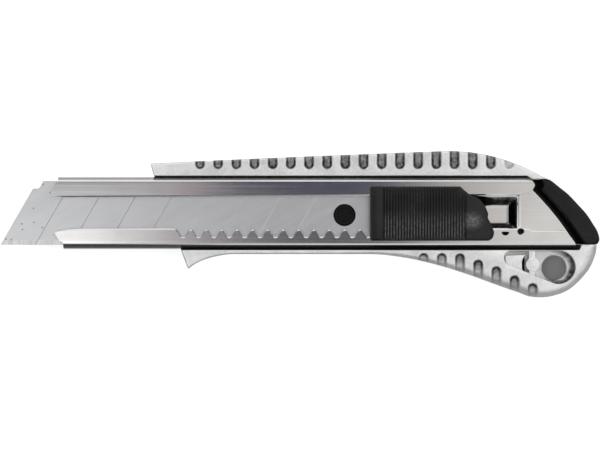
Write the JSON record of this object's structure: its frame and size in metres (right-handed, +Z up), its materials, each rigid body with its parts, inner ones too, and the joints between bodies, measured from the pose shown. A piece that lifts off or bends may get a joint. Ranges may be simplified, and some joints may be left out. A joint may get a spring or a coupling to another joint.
{
  "type": "snap-off utility knife",
  "caption": "Snap-off utility knife: segmented blade in a steel channel guide with rack teeth, ribbed locking thumb slider, cast metal handle and plastic end cap",
  "frame": {"origin": "middle of the footprint, on the flat back face that the knife lies on", "axes": "+X along the knife from the blade's tip to the end cap, +Y from belly to spine, +Z up out of the front face, towards the thumb pad"},
  "size_m": [0.1684, 0.0414, 0.0136],
  "materials": {
    "cast_alloy": "as-cast, tumbled, satin",
    "guide_steel": "bright rolled sheet",
    "blade_steel": "ground and lightly oiled",
    "spring_steel": "blued strip",
    "rivet_steel": "plain",
    "slider_plastic": "moulded, fine sheen",
    "cap_plastic": "moulded, satin"
  },
  "bodies": {
    "handle": {"handle_casting": "cast_alloy", "blade_guide": "guide_steel", "guide_rivet_front": "rivet_steel", "guide_rivet_rear": "rivet_steel"},
    "slider": {"snap_blade": "blade_steel", "blade_carrier": "slider_plastic", "lock_spring": "spring_steel", "spring_rivet": "rivet_steel"},
    "pad": {"thumb_pad": "slider_plastic"},
    "cap": {"end_cap": "cap_plastic"}
  },
  "joints": [
    {"name": "blade_slide", "type": "slide", "parent": "handle", "child": "slider", "axis": [-1, 0, 0], "range_m": [-0.01728, 0.0648], "deforming": ["lock_spring"]},
    {"name": "pad_shift", "type": "slide", "parent": "slider", "child": "pad", "axis": [-1, 0, 0], "range_m": [-0.0012, 0.0012], "stiffness_N_per_m": 1500},
    {"name": "cap_pull", "type": "slide", "parent": "handle", "child": "cap", "axis": [1, 0, 0], "range_m": [0, 0.025]}
  ]
}
